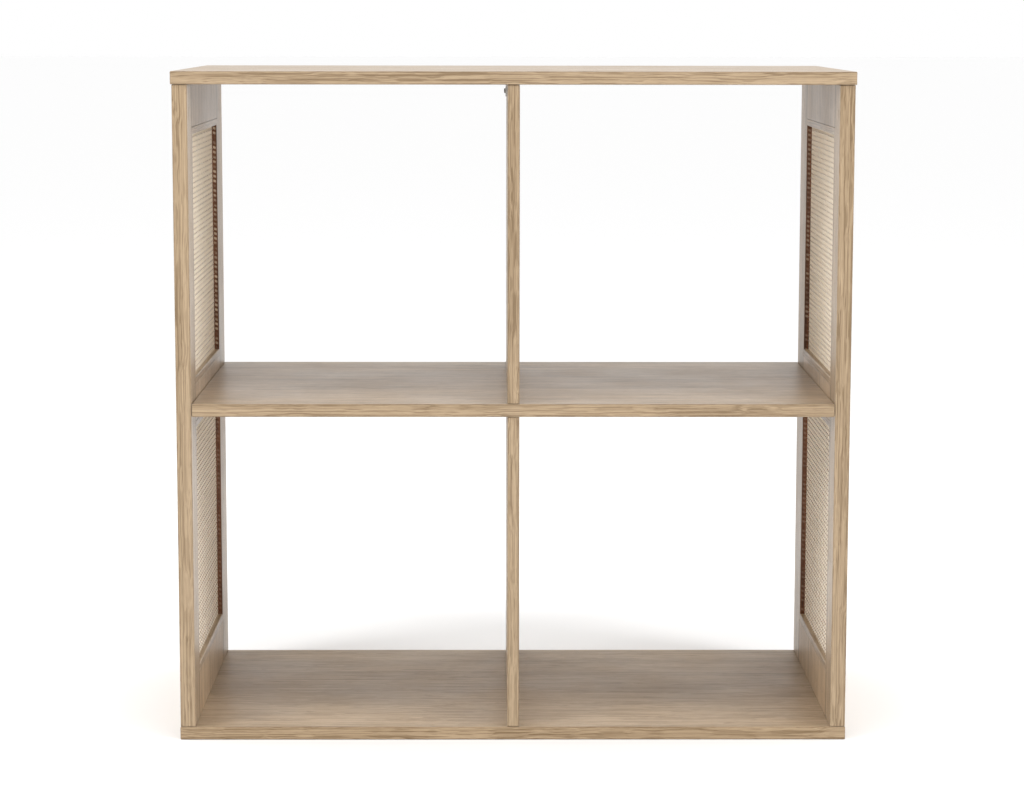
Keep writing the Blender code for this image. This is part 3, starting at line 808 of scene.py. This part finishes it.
def make_strand_weave() -> NodeTree:
    """Strands that pass over and under a crossing set, along X and side by side in Y."""
    wires, given, result = node_group(
        "strand_weave", "GeometryNodeTree",
        {"Length": (FLOAT, 0.29), "Pitches Across": (INTEGER, 48), "Pitches Along": (INTEGER, 48),
         "Pitch Across": (FLOAT, 0.006), "Pitch Along": (FLOAT, 0.006), "Crossing": (FLOAT, 0.0016),
         "Strand Width": (FLOAT, 0.003), "Strand Thickness": (FLOAT, 0.0005), "Lift": (FLOAT, 0.0002),
         "Wander": (FLOAT, 0.0001), "Parity": (INTEGER, 0), "Seed": (INTEGER, SEED),
         "Material": MATERIAL},
        {"Geometry": GEOMETRY})
    strands = wires.first("GeometryNodeMeshLine", {"Count": given["Pitches Across"], "Offset": (0.0, 0.0, 0.0)})
    points = wires.plus(wires.times(given["Pitches Along"], 2.0), 2.0)
    line = wires.first("GeometryNodeCurvePrimitiveLine")
    resampled = wires.first("GeometryNodeResampleCurve", {"Curve": line, "Count": points})
    copies = wires.first("GeometryNodeInstanceOnPoints", {"Points": strands, "Instance": resampled})
    loose = wires.first("GeometryNodeRealizeInstances", {0: copies})

    strand = wires.add("GeometryNodeCurveOfPoint").outputs["Curve Index"]
    point = wires.minus(wires.add("GeometryNodeSplineParameter").outputs["Index"], 1.0)
    crossing = wires.calc("FLOOR", wires.over(point, 2.0))
    beside = wires.minus(wires.calc("FLOORED_MODULO", point, 2.0), 0.5)
    middle = wires.times(wires.plus(crossing, 0.5), given["Pitch Along"])
    knot = wires.plus(middle, wires.times(beside, given["Crossing"]))
    along = wires.calc("MINIMUM", wires.calc("MAXIMUM", knot, 0.0), given["Length"])
    parity = wires.plus(wires.plus(strand, crossing), given["Parity"])
    side = wires.minus(1.0, wires.times(wires.calc("FLOORED_MODULO", parity, 2.0), 2.0))
    height = wires.times(side, given["Lift"])
    seat = wires.join((wires.times(along, WANDER_ALONG), wires.times(strand, WANDER_APART), given["Seed"]))
    drift = wires.first("ShaderNodeTexNoise", {"Vector": seat, "Scale": 1.0, "Detail": 1.0})
    wander = wires.times(wires.minus(drift, 0.5), given["Wander"])
    across = wires.plus(wires.times(wires.plus(strand, 0.5), given["Pitch Across"]), wander)
    position = wires.join((along, across, height))
    placed = wires.first("GeometryNodeSetPosition", {"Geometry": loose, "Position": position})
    tone = wires.add("FunctionNodeRandomValue", {"ID": strand, "Seed": given["Seed"]}, data_type="FLOAT")
    crest = wires.plus(wires.times(side, 0.5), 0.5)
    for label, value in (("strand_tone", tone.outputs[1]), ("crest", crest)):
        placed = wires.first("GeometryNodeStoreNamedAttribute", {"Geometry": placed, "Name": label, "Value": value})
    upright = wires.first("GeometryNodeSetCurveNormal", {"Curve": placed}, mode="Z_UP")
    ring = wires.first("GeometryNodeCurvePrimitiveCircle", {"Resolution": 8, "Radius": 0.5})
    size = wires.join((given["Strand Thickness"], given["Strand Width"], 1.0))
    section = wires.first("GeometryNodeTransform", {"Geometry": ring, "Scale": size})
    swept = wires.first("GeometryNodeCurveToMesh", {"Curve": upright, "Profile Curve": section, "Fill Caps": True})
    smooth = wires.first("GeometryNodeSetShadeSmooth", {"Geometry": swept})
    return finished_tree(wires, result, smooth, given["Material"])


def make_set_in_place() -> NodeTree:
    """A part repeated on the points of a mesh, turned to each point's aim and by its own angle about it."""
    wires, given, result = node_group(
        "set_in_place", "GeometryNodeTree",
        {"Geometry": GEOMETRY, "Part": "NodeSocketObject", "Turn": (FLOAT, math.tau),
         "Seed": (INTEGER, SEED), "Material": MATERIAL},
        {"Geometry": GEOMETRY})
    part = wires.add("GeometryNodeObjectInfo", {"Object": given["Part"]})
    aim = wires.first("GeometryNodeInputNamedAttribute", {"Name": "aim"}, data_type="FLOAT_VECTOR")
    turn = wires.add("FunctionNodeRandomValue", {"Max": given["Turn"], "Seed": given["Seed"]}, data_type="FLOAT")
    spin = wires.first("FunctionNodeEulerToRotation", {0: wires.join((0.0, 0.0, turn.outputs[1]))})
    aimed = wires.first("FunctionNodeAlignRotationToVector", {"Rotation": spin, "Vector": aim}, axis="Z")
    set_out = {"Points": given["Geometry"], "Instance": part.outputs["Geometry"], "Rotation": aimed}
    copies = wires.first("GeometryNodeInstanceOnPoints", set_out)
    return finished_tree(wires, result, copies, given["Material"])


# ---- woodwork
@dataclass
class Woodwork:
    """Every board, frame member and moulding, dressed along its own grain."""

    foil: OakFoil
    # The lighter copy of the foil, painted light for the middle and bottom rails.
    pale: OakFoil
    bead: StainedBead
    low_sheen: float = 0.75
    top_sheen: float = 1.1

    @staticmethod
    def grains() -> dict[str, Grain]:
        """The grain axis of every wooden node that the foil covers."""
        grains = dict.fromkeys(("top_panel", "bottom_panel", "middle_shelf"), Grain.ALONG_X)
        grains |= dict.fromkeys(("upper_divider", "lower_divider"), Grain.ALONG_Z)
        for side in SIDES:
            grains |= {f"{side}_{end}_stile": Grain.ALONG_Z for end in ENDS}
            grains |= {f"{side}_{level}_rail": Grain.ALONG_Z for level in ("top", "middle", "bottom")}
        return grains

    @staticmethod
    def bead_grains() -> dict[str, Grain]:
        """The grain axis of every moulding."""
        runs = {"front": Grain.ALONG_Z, "back": Grain.ALONG_Z, "top": Grain.ALONG_Y, "bottom": Grain.ALONG_Y}
        return {f"{side}_{level}_{place}_bead": grain
                for side in SIDES for level in ("upper", "lower") for place, grain in runs.items()}

    def dress(self) -> int:
        """Gives every wooden node its material.

        Returns:
            How many nodes were dressed.
        """
        order = 0
        for finish, grains in ((self.foil, self.grains()), (self.bead, self.bead_grains())):
            for node, grain in grains.items():
                order += 1
                sheen = self.low_sheen if "bottom" in node else self.top_sheen if node == "top_panel" else 1.0
                # Middle and bottom rails take the lighter copy of the foil, which paints light onto them.
                chosen = self.pale if node.endswith(("middle_rail", "bottom_rail")) else finish
                dress_node(node, chosen.material(node, grain, order, sheen))
        return order


def dress_node(node: str, material: Material) -> None:
    """Gives every material slot of a CAD node one material.

    Args:
        node: the node's name.
        material: its new material.
    """
    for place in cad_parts[node].material_slots:
        place.material = material


# ---- cane windows
@dataclass
class CaneWindow:
    """One window's square weave: split strands, each over one and under the next."""

    side: str
    level: str
    pitch: float = 0.00605
    crossing: float = 0.0018
    level_strand: tuple[float, float] = (0.0040, 0.0011)
    upright_strand: tuple[float, float] = (0.0028, 0.00045)
    level_lift: float = 0.00030
    upright_lift: float = 0.00045
    wander: float = 0.0004

    @property
    def node(self) -> str:
        """The CAD node of the woven panel."""
        return f"{self.side}_{self.level}_cane_panel"

    def strands(self, weave: Weave, tree: NodeTree) -> Object:
        """The finished piece of one set of strands.

        Args:
            weave: which way the strands run.
            tree: the weave's geometry tree.
        """
        low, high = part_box(self.node)
        middle, size = (low + high) / 2, high - low
        length, span = (size.y, size.z) if weave is Weave.LEVEL else (size.z, size.y)
        along, across = round(length / self.pitch), round(span / self.pitch)
        level = weave is Weave.LEVEL
        width, thickness = self.level_strand if level else self.upright_strand
        values = {
            "Length": length, "Pitches Across": across, "Pitches Along": along,
            "Pitch Across": span / across, "Pitch Along": length / along, "Crossing": self.crossing,
            "Strand Width": width, "Strand Thickness": thickness,
            "Lift": self.level_lift if level else self.upright_lift, "Wander": self.wander, "Parity": weave.value,
            "Seed": SEED + 2 * SIDES.index(self.side) + (self.level == "upper"),
            "Material": bpy.data.materials.get(f"cane_{weave.name.lower()}") or CANE.material(weave),
        }
        name = f"{self.side}_{self.level}_{weave.name.lower()}_strands"
        mesh = grown(name, tree, values)
        outward = -1.0 if self.side == "left" else 1.0
        start = Vector((middle.x, low.y, low.z))
        along_axis, across_axis = Vector((0, 1, 0)), Vector((0, 0, 1))
        if weave is Weave.UPRIGHT:
            along_axis, across_axis = across_axis, along_axis
        turn = Matrix((along_axis, across_axis, Vector((outward, 0, 0)))).transposed()
        mesh.transform(Matrix.Translation(start) @ turn.to_4x4())
        if turn.determinant() < 0:
            mesh.flip_normals()
        piece = new_piece(name, mesh)
        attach(piece, "root")
        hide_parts(self.node)
        return piece

    def build(self, tree: NodeTree) -> list[Object]:
        """Both sets of strands."""
        return [self.strands(weave, tree) for weave in Weave]


# ---- hardware
X_AXIS, Z_AXIS = 0, 2


def thread_rings(start: float, pitch: float, turns: int, *steps: tuple[float, float]) -> Rings:
    """The rings of a thread.

    Args:
        start: where the thread starts.
        pitch: the height of a turn.
        turns: the number of turns.
        *steps: how far up each turn a groove or crest is, as a share of the pitch, and its radius.

    Returns:
        The rings.
    """
    return [(start + (turn + share) * pitch, radius) for turn in range(turns) for share, radius in steps]


@dataclass
class Fastener:
    """A small part that repeats, made once and set in place of its CAD nodes by a geometry tree."""

    name: str
    nodes: list[str]
    finish: PlatedMetal | CapFoil
    slot: str
    hides: bool = True

    def profile(self) -> Rings:
        """The rings of one part, its drive at the low end and its tip at the high one."""
        raise NotImplementedError

    def seat(self, node: str, low: Vector, high: Vector) -> tuple[int, float, float]:
        """The axis that a part lies along, where it starts on that axis and the sign of its way.

        Args:
            node: the CAD node that it replaces.
            low: the low corner of the node's box.
            high: the high corner.
        """
        raise NotImplementedError

    def extent(self, pick: Callable[[Vector], float] = max) -> float:
        """The nodes' greatest length, or their greatest thickness with min."""
        return max(pick(high - low) for low, high in map(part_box, self.nodes))

    def seats(self) -> Mesh:
        """A mesh with a point where each part starts, and the way that it points as the point's aim."""
        starts, aims = [], []
        for node in self.nodes:
            low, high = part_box(node)
            start, aim = (low + high) / 2, Vector((0.0, 0.0, 0.0))
            axis, start_at, way = self.seat(node, low, high)
            start[axis], aim[axis] = start_at, way
            starts.append(start)
            aims.append(aim)
        points = bpy.data.meshes.new(self.name + "_points")
        points.from_pydata(starts, [], [])
        for item, aim in zip(points.attributes.new("aim", "FLOAT_VECTOR", "POINT").data, aims):
            item.vector = aim
        return points

    def build(self, tree: NodeTree) -> Object:
        """The finished piece: the part, repeated by a geometry tree in place of the CAD nodes."""
        name = self.name + "_part"
        part = new_piece(name, mesh_of(name, lambda shape: lofted(shape, self.profile())))
        mesh = grown(self.name, tree, {"Part": part, "Material": self.finish.material()}, self.seats())
        bpy.data.objects.remove(part)
        piece = new_piece(self.name, mesh)
        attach(piece, "root")
        if self.hides:
            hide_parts(*self.nodes)
        return piece


@dataclass
class ConnectorScrews(Fastener):
    """Sunk-head connector screws with a hexagonal drive, seen from below and from the sides."""

    head: float = 0.0049
    shank: float = 0.0033
    core: float = 0.0024
    head_deep: float = 0.0027
    socket: float = 0.0020
    socket_deep: float = 0.0024
    smooth_share: float = 0.32
    thread_shares: tuple[float, float] = (0.345, 0.92)
    threads: int = 12

    def profile(self) -> Rings:
        """Socket, chamfered head, collar and thread."""
        length = self.extent()
        hexagon, mouth = hexagon_outline(self.socket), hexagon_outline(self.socket * 1.12)
        start, stop = (length * share for share in self.thread_shares)
        return [(self.socket_deep, self.socket * 0.35), (self.socket_deep, hexagon), (0.00025, hexagon),
                (0.0, mouth), (0.0, self.head - 0.0004), (0.0003, self.head), (self.head_deep, self.head),
                (self.head_deep + self.head - self.shank, self.shank), (length * self.smooth_share, self.shank),
                *thread_rings(start, (stop - start) / self.threads, self.threads, (0.0, self.core), (0.5, self.shank)),
                (stop, self.core), (length, self.core * 0.3)]

    def seat(self, node: str, low: Vector, high: Vector) -> tuple[int, float, float]:
        """From the bottom panel's underside up, or from a side's outer face in."""
        if "base" in node:
            return Z_AXIS, low.z, 1.0
        return (X_AXIS, low.x, 1.0) if "left" in node else (X_AXIS, high.x, -1.0)


@dataclass
class CamLocks(Fastener):
    """Cast zinc cams with a cross drive, sunk in the inner faces of the side frames."""

    radius: float = 0.0074
    chamfer: float = 0.0006
    arm: float = 0.0044
    arm_half: float = 0.0008
    drive_deep: float = 0.0021

    def profile(self) -> Rings:
        """Cross drive, dished face, chamfered rim and body."""
        cross = cross_outline(self.arm, self.arm_half)
        mouth = cross_outline(self.arm + 0.0002, self.arm_half + 0.0002)
        return [(self.drive_deep, cross_outline(self.arm * 0.6, self.arm_half * 0.6)), (self.drive_deep, cross),
                (0.0005, cross), (0.0003, mouth), (0.0003, self.radius - 0.0016), (0.0, self.radius - 0.0012),
                (0.0, self.radius - self.chamfer), (self.chamfer, self.radius), (self.extent(min), self.radius)]

    def seat(self, node: str, low: Vector, high: Vector) -> tuple[int, float, float]:
        """From a side frame's inner face out."""
        return (X_AXIS, high.x, -1.0) if "left" in node else (X_AXIS, low.x, 1.0)


@dataclass
class CoverCaps(CamLocks):
    """Foil-covered caps pressed over the cam locks."""

    radius: float = 0.0086
    thickness: float = 0.0005
    clear: float = 0.00005

    def profile(self) -> Rings:
        """A thin disc with an eased rim, standing off the frame's inner face."""
        face = -self.clear - self.thickness
        return [(face, self.radius * 0.5), (face, self.radius - 0.0004), (face + 0.0001, self.radius - 0.0001),
                (face + 0.0002, self.radius), (-self.clear, self.radius)]


@dataclass
class BraceScrews(Fastener):
    """Small domed wood screws with a cross drive, one in each leg of the brace."""

    head: float = 0.0031
    shank: float = 0.0014
    core: float = 0.0009
    dome: float = 0.0016
    dome_steps: int = 7
    threads: int = 6

    def profile(self) -> Rings:
        """Cross drive, domed head and thread."""
        length = self.extent()
        rings: Rings = [(self.dome, cross_outline(self.head * 0.3, self.head * 0.09)),
                        (0.0002, cross_outline(self.head * 0.52, self.head * 0.12))]
        for step in range(self.dome_steps):
            turn = math.pi / 2 * (step + 1) / self.dome_steps
            reach = self.head * (0.45 + 0.55 * math.sin(turn))
            rings.append((self.dome * (1 - math.sin(math.pi / 2 - turn)) * 0.8, reach))
        start = self.dome + 0.0016
        pitch = (length - 0.0012 - start) / self.threads
        return [*rings, (self.dome, self.head), (self.dome, self.shank), (start, self.shank),
                *thread_rings(start, pitch, self.threads, (0.4, self.core), (0.8, self.shank)),
                (length, self.core * 0.3)]

    def seat(self, node: str, low: Vector, high: Vector) -> tuple[int, float, float]:
        """From the top of a dome, up into the top panel or across into the divider."""
        return (Z_AXIS, low.z, 1.0) if node.endswith("top") else (X_AXIS, low.x, 1.0)


# ---- studio
@dataclass
class Studio:
    """A pale floor, a white room, soft lights and the camera that looks at the open front."""

    eye: Vector
    pitch: float = 7.60
    yaw: float = -0.344
    roll: float = 0.063
    lens: float = 98.33
    sensor: float = 36.0
    room: float = 0.25
    backdrop: float = 1.0
    ceiling: float = 0.15
    overhead_power: float = 22.0
    softbox_power: float = 47.0
    floor_reach: float = 60.0
    floor_drop: float = 0.0003
    floor_shade_middle: Colour = (0.0, -1.6, 0.0)

    def light(self, name: str, place: Vector, target: Vector, size: tuple[float, float], power: float) -> None:
        """Adds a soft rectangular light.

        Args:
            name: the light's name.
            place: its middle.
            target: the point that it faces.
            size: its width and height.
            power: its power in watts.
        """
        lamp = bpy.data.lights.new(name, "AREA")
        lamp.shape, lamp.energy = "RECTANGLE", power
        lamp.size, lamp.size_y = size
        thing = bpy.data.objects.new(name, lamp)
        thing.location = place
        thing.rotation_euler = (target - place).to_track_quat("-Z", "Y").to_euler()
        bpy.context.scene.collection.objects.link(thing)

    def build_room(self) -> None:
        """The white surroundings."""
        world = bpy.data.worlds.new("studio")
        world.use_nodes = True
        bpy.context.scene.world = world
        wires = Wires(world.node_tree)
        background = world.node_tree.nodes["Background"]
        background.inputs["Color"].default_value = (1.0, 1.0, 1.0, 1.0)
        way = wires.split(wires.add("ShaderNodeTexCoord").outputs["Generated"])
        walls = wires.remap(way["Y"], -0.85, -0.35, self.room, self.backdrop)
        above = wires.remap(way["Z"], 0.2, 0.9, 0.0, self.ceiling)
        wires.feed(background.inputs["Strength"], wires.plus(walls, above))

    def build_floor(self) -> None:
        """A pale, matt floor, darker in a patch in front of the unit as painted shade."""
        def build(shape: BMesh) -> None:
            """Fills the floor's one square."""
            corners = ((-1, -1), (1, -1), (1, 1), (-1, 1))
            shape.faces.new([shape.verts.new((x * self.floor_reach, y * self.floor_reach, -self.floor_drop))
                             for x, y in corners])
        paint = Paint("pale_floor", roughness=0.9, specular=0.1)
        grey = paint.noise(paint.place, (3.0, 3.0, 3.0), 2.0)
        # Painted shade: the floor is darker within about a metre of a point in front of the unit, which dims the light
        # it throws back onto the unit's lower fronts; further off it is nearly white.
        near = paint.tint(paint.times(grey, 0.5), (0.76, 0.76, 0.76), (0.74, 0.74, 0.74))
        apart = {0: paint.place, 1: self.floor_shade_middle}
        distance = paint.add("ShaderNodeVectorMath", apart, operation="DISTANCE").outputs["Value"]
        far = paint.remap(distance, 0.9, 1.9)
        paint.shade("Base Color", paint.tint(far, near, (0.99, 0.99, 0.99)))
        floor = new_piece("floor", mesh_of("floor", build), paint.material)

    def build_camera(self) -> None:
        """The camera, level with the top of the unit and looking slightly down."""
        data = bpy.data.cameras.new("camera")
        data.lens, data.sensor_width = self.lens, self.sensor
        data.clip_end = 200.0
        camera = bpy.data.objects.new("camera", data)
        turn = Matrix.Rotation(math.radians(self.yaw), 4, "Z")
        tilt = Matrix.Rotation(math.radians(90.0 - self.pitch), 4, "X")
        lean = Matrix.Rotation(math.radians(self.roll), 4, "Z")
        camera.matrix_world = Matrix.Translation(self.eye) @ turn @ tilt @ lean
        bpy.context.scene.collection.objects.link(camera)
        bpy.context.scene.camera = camera

    def build(self) -> None:
        """The whole studio."""
        self.build_room()
        self.build_floor()
        self.light("overhead", Vector((0.0, -1.15, 3.2)), Vector((0.0, -0.1, 0.4)), (1.6, 0.8), self.overhead_power)
        for side in (-1, 1):
            place, target = Vector((2.6 * side, -1.7, 1.75)), Vector((0.0, 0.0, 0.5))
            self.light(f"softbox_{side + 2}", place, target, (1.2, 1.6), self.softbox_power)
        self.build_camera()
        bpy.context.scene.view_settings.view_transform = "Standard"


def main() -> None:
    """Builds the studio and every piece, in order."""
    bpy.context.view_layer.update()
    Studio(eye=Vector((-0.0209, -3.407, 0.8388))).build()
    log.info("studio built")

    count = Woodwork(OAK, PAINTED_LIGHT_OAK, BEAD).dress()
    log.info("woodwork: %d nodes dressed", count)

    weave = make_strand_weave()
    for side in SIDES:
        for level in ("upper", "lower"):
            pieces = CaneWindow(side, level).build(weave)
            log.info("%s %s window: %d faces of cane", side, level, sum(len(p.data.polygons) for p in pieces))

    setter = make_set_in_place()
    corners = [f"{side}_{end}" for side in SIDES for end in ENDS]
    screws = [f"{corner}_base_screw" for corner in corners] + [f"divider_{end}_base_screw" for end in ENDS]
    screws += [f"{corner}_shelf_screw" for corner in corners]
    cams = [f"{corner}_cam_lock" for corner in corners]
    fasteners = [
        ConnectorScrews("connector_screws", screws, STEEL, "steel_fastener"),
        CamLocks("cam_locks", cams, ZINC, "zinc_cam"),
        CoverCaps("cam_caps", cams, CAP, "oak_frame", hides=False),
        BraceScrews("brace_screws", ["brace_screw_top", "brace_screw_divider"], BLUED, "steel_fastener"),
    ]
    for fastener in fasteners:
        fastener.build(setter)
        log.info("%s: %d set in place", fastener.name, len(fastener.nodes))
    for corner in corners:
        dress_node(f"{corner}_cam_bolt", STEEL.material())
    dress_node("divider_brace", PLATE.material())
    dowels = [f"{end}_{place}_dowel" for place in ("top", "shelf") for end in ENDS]
    for order, node in enumerate(dowels):
        dress_node(node, BEECH.material(node, Grain.ALONG_Z, order))
    log.info("dowels, bolts and brace dressed")


if __name__ == "__main__":
    logging.basicConfig(level=logging.INFO, format="%(name)s: %(message)s")
    main()
